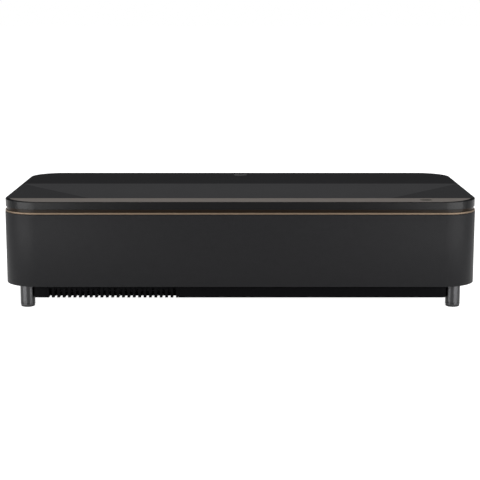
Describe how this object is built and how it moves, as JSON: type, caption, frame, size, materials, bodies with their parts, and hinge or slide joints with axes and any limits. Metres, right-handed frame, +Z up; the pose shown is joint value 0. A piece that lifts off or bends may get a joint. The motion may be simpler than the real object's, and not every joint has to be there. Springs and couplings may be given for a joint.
{
  "type": "home projector",
  "caption": "Low, wide short-throw home projector with a cloth front cover, a copper accent line, a recessed top with a sliding shutter, and screw feet.",
  "frame": {"origin": "on the table, under the middle of the body", "axes": "+X to the right seen from the viewer, +Y to the wall behind, +Z up"},
  "size_m": [0.695, 0.341, 0.1585],
  "materials": {
    "cover_plastic": "fine satin texture",
    "rim_finish": "satin warm grey",
    "gap_finish": "satin dark bronze",
    "dark_window": "polished",
    "accent_metal": "satin copper gold",
    "case_plastic": "fine texture",
    "base_plastic": "fine texture",
    "steel_sheet": "galvanised",
    "speaker_cloth": "woven",
    "filter_media": "pleated felt",
    "clear_glass": "coated",
    "shutter_plastic": "satin",
    "acetal": "natural",
    "motor_steel": "plated",
    "mirror_coat": "aluminised",
    "bracket_steel": "black zinc",
    "barrel_metal": "black anodised",
    "bare_aluminium": "machined",
    "lens_glass": "coated",
    "laser_housing": "bare copper alloy",
    "phosphor": "coated",
    "copper_pipe": "bare copper",
    "fan_plastic": "moulded",
    "speaker_basket": "satin",
    "board": "solder mask",
    "socket_metal": "nickel plated",
    "socket_plastic": "moulded",
    "button_finish": "satin",
    "insert_brass": "turned",
    "screw_steel": "zinc plated",
    "pad_rubber": "matt",
    "foot_metal": "dark nickel"
  },
  "bodies": {
    "root": {"top_cover": "cover_plastic", "rim_panel": "rim_finish", "sensor_window": "dark_window", "gap_liner": "gap_finish", "accent_frame": "accent_metal", "main_case": "case_plastic", "bottom_case": "base_plastic", "chassis_plate": "steel_sheet", "side_grille_left": "case_plastic", "side_grille_right": "case_plastic", "lens_well": "base_plastic", "lens_window": "clear_glass", "shutter_rails": "bracket_steel", "shutter_motor": "motor_steel", "mirror": "mirror_coat", "mirror_bracket": "bracket_steel", "lens_barrel": "barrel_metal", "light_engine": "barrel_metal", "laser_module": "laser_housing", "heat_sink": "bare_aluminium", "heat_pipes": "copper_pipe", "intake_fan_frame": "fan_plastic", "exhaust_fan_frames": "fan_plastic", "speaker_box_left": "base_plastic", "speaker_box_right": "base_plastic", "speaker_driver_left": "speaker_basket", "speaker_driver_right": "speaker_basket", "power_board": "board", "main_board": "board", "rear_panel": "case_plastic", "video_sockets": "socket_metal", "usb_sockets": "socket_metal", "audio_sockets": "socket_plastic", "ac_inlet": "socket_plastic", "button_switch": "board", "foot_inserts": "insert_brass", "case_screws": "screw_steel"},
    "front_cover": {"grille_frame": "base_plastic", "grille_cloth": "speaker_cloth"},
    "filter_drawer": {"filter_tray": "base_plastic", "air_filter": "filter_media"},
    "cable_cover": {"cable_cover": "case_plastic"},
    "power_button": {"power_button": "button_finish"},
    "shutter": {"shutter": "shutter_plastic"},
    "shutter_pinion": {"shutter_pinion": "acetal"},
    "focus_ring": {"focus_ring": "bare_aluminium"},
    "focus_group": {"focus_group": "lens_glass"},
    "focus_knob": {"focus_knob": "base_plastic"},
    "intake_rotor": {"intake_fan_rotor": "fan_plastic"},
    "exhaust_rotor_front": {"exhaust_fan_rotor_front": "fan_plastic"},
    "exhaust_rotor_rear": {"exhaust_fan_rotor_rear": "fan_plastic"},
    "phosphor_wheel": {"phosphor_wheel": "phosphor"},
    "foot_pad_front_left": {"foot_pad_front_left": "pad_rubber"},
    "foot_leg_front_left": {"foot_leg_front_left": "foot_metal"},
    "foot_pad_front_right": {"foot_pad_front_right": "pad_rubber"},
    "foot_leg_front_right": {"foot_leg_front_right": "foot_metal"},
    "foot_pad_rear_left": {"foot_pad_rear_left": "pad_rubber"},
    "foot_leg_rear_left": {"foot_leg_rear_left": "foot_metal"},
    "foot_pad_rear_right": {"foot_pad_rear_right": "pad_rubber"},
    "foot_leg_rear_right": {"foot_leg_rear_right": "foot_metal"}
  },
  "joints": [
    {"name": "front_cover_pull", "type": "slide", "parent": "root", "child": "front_cover", "axis": [0, -1, 0], "range_m": [0, 0.05]},
    {"name": "filter_pull", "type": "slide", "parent": "root", "child": "filter_drawer", "axis": [0, -1, 0], "range_m": [0, 0.11]},
    {"name": "cable_cover_pull", "type": "slide", "parent": "root", "child": "cable_cover", "axis": [0, 1, 0], "range_m": [0, 0.04]},
    {"name": "power_press", "type": "slide", "parent": "root", "child": "power_button", "axis": [0, 0.005, -1], "range_m": [0, 0.0012], "stiffness_N_per_m": 400},
    {"name": "shutter_slide", "type": "slide", "parent": "root", "child": "shutter", "axis": [0, 0.995, 0.0995], "range_m": [0, 0.062]},
    {"name": "pinion_spin", "type": "hinge", "parent": "root", "child": "shutter_pinion", "pos_m": [0.105, -0.0525, 0.13751], "axis": [1, 0, 0], "range_deg": [-635, 0]},
    {"name": "focus_ring_turn", "type": "hinge", "parent": "root", "child": "focus_ring", "pos_m": [0, -0.02, 0.0696], "axis": [0, 1, 0], "range_deg": [-30, 30]},
    {"name": "focus_knob_turn", "type": "hinge", "parent": "root", "child": "focus_knob", "pos_m": [0.02758, -0.1, 0.04646], "axis": [0, 1, 0], "range_deg": [-150, 150]},
    {"name": "focus_group_slide", "type": "slide", "parent": "root", "child": "focus_group", "axis": [0, 1, 0], "range_m": [-0.002, 0.002]},
    {"name": "intake_spin", "type": "hinge", "parent": "root", "child": "intake_rotor", "pos_m": [-0.15465, -0.0916, 0.05], "axis": [0, 0, 1], "continuous": true},
    {"name": "exhaust_front_spin", "type": "hinge", "parent": "root", "child": "exhaust_rotor_front", "pos_m": [0.222, -0.02, 0.0832], "axis": [1, 0, 0], "continuous": true},
    {"name": "exhaust_rear_spin", "type": "hinge", "parent": "root", "child": "exhaust_rotor_rear", "pos_m": [0.222, 0.076, 0.0832], "axis": [1, 0, 0], "continuous": true},
    {"name": "phosphor_spin", "type": "hinge", "parent": "root", "child": "phosphor_wheel", "pos_m": [-0.061, 0.09, 0.0696], "axis": [1, 0, 0], "continuous": true},
    {"name": "foot_drop_front_left", "type": "slide", "parent": "root", "child": "foot_pad_front_left", "axis": [0, 0, -1], "range_m": [0, 0.006]},
    {"name": "foot_screw_front_left", "type": "hinge", "parent": "foot_pad_front_left", "child": "foot_leg_front_left", "pos_m": [-0.314, -0.147, 0.02], "axis": [0, 0, -1], "range_deg": [0, 1728]},
    {"name": "foot_drop_front_right", "type": "slide", "parent": "root", "child": "foot_pad_front_right", "axis": [0, 0, -1], "range_m": [0, 0.006]},
    {"name": "foot_screw_front_right", "type": "hinge", "parent": "foot_pad_front_right", "child": "foot_leg_front_right", "pos_m": [0.314, -0.147, 0.02], "axis": [0, 0, -1], "range_deg": [0, 1728]},
    {"name": "foot_drop_rear_left", "type": "slide", "parent": "root", "child": "foot_pad_rear_left", "axis": [0, 0, -1], "range_m": [0, 0.006]},
    {"name": "foot_screw_rear_left", "type": "hinge", "parent": "foot_pad_rear_left", "child": "foot_leg_rear_left", "pos_m": [-0.314, 0.147, 0.02], "axis": [0, 0, -1], "range_deg": [0, 1728]},
    {"name": "foot_drop_rear_right", "type": "slide", "parent": "root", "child": "foot_pad_rear_right", "axis": [0, 0, -1], "range_m": [0, 0.006]},
    {"name": "foot_screw_rear_right", "type": "hinge", "parent": "foot_pad_rear_right", "child": "foot_leg_rear_right", "pos_m": [0.314, 0.147, 0.02], "axis": [0, 0, -1], "range_deg": [0, 1728]}
  ],
  "couplings": [
    {"joint": "pinion_spin", "follows": "shutter_slide", "rad_per_m": -178.57},
    {"joint": "focus_knob_turn", "follows": "focus_ring_turn", "ratio": -5},
    {"joint": "focus_group_slide", "follows": "focus_ring_turn", "m_per_rad": 0.0038006},
    {"joint": "foot_screw_front_left", "follows": "foot_drop_front_left", "rad_per_m": 5026.5},
    {"joint": "foot_screw_front_right", "follows": "foot_drop_front_right", "rad_per_m": 5026.5},
    {"joint": "foot_screw_rear_left", "follows": "foot_drop_rear_left", "rad_per_m": 5026.5},
    {"joint": "foot_screw_rear_right", "follows": "foot_drop_rear_right", "rad_per_m": 5026.5}
  ]
}
